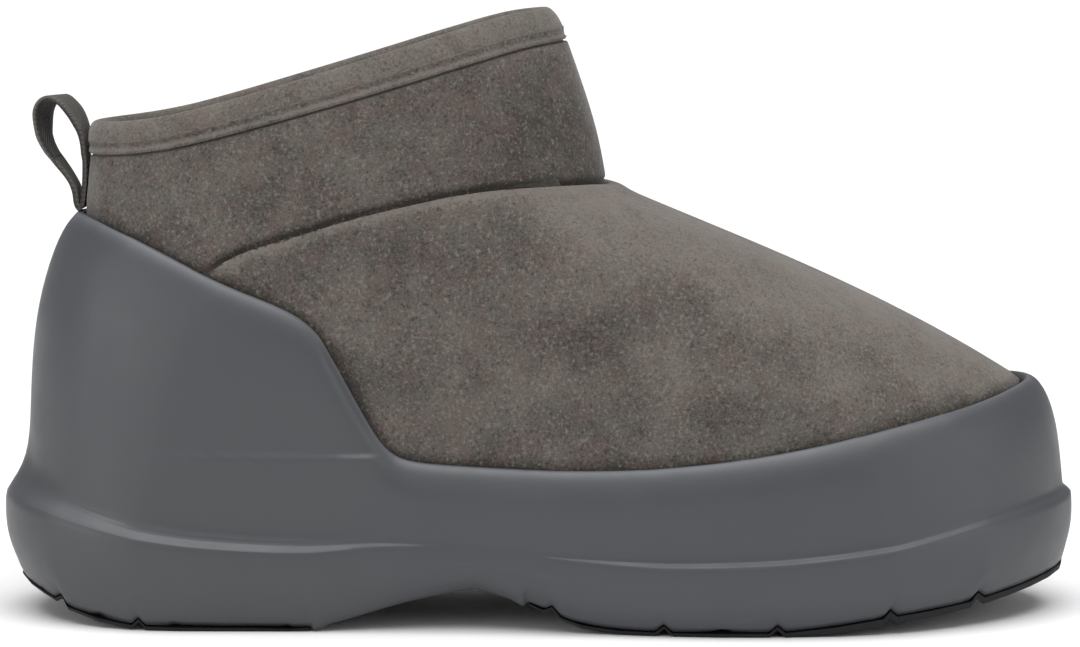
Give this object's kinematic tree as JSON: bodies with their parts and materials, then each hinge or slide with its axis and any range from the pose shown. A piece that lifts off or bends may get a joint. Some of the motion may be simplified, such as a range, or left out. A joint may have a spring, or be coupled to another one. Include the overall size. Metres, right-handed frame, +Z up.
{
  "type": "apres ski boot",
  "caption": "Low pull-on winter boot with a soft suede upper, folded collar band, heel pull loop and a thick one-piece moulded cup sole with a tall heel counter.",
  "frame": {"origin": "middle of the boot's bounding box in plan, on the floor it stands on", "axes": "+X from heel to toe, +Y to the wearer's left, +Z up"},
  "size_m": [0.3, 0.104, 0.1679],
  "materials": {
    "foam": "matt moulded foam, slate grey",
    "outsole": "matt rubber, near black",
    "suede": "brushed suede, taupe grey",
    "lining": "felted textile",
    "webbing": "woven strap"
  },
  "bodies": {
    "root": {"midsole": "foam", "outsole_heel": "outsole", "outsole_forefoot": "outsole", "upper": "suede", "collar_band": "suede", "insole": "lining", "pull_loop": "webbing"}
  },
  "joints": []
}
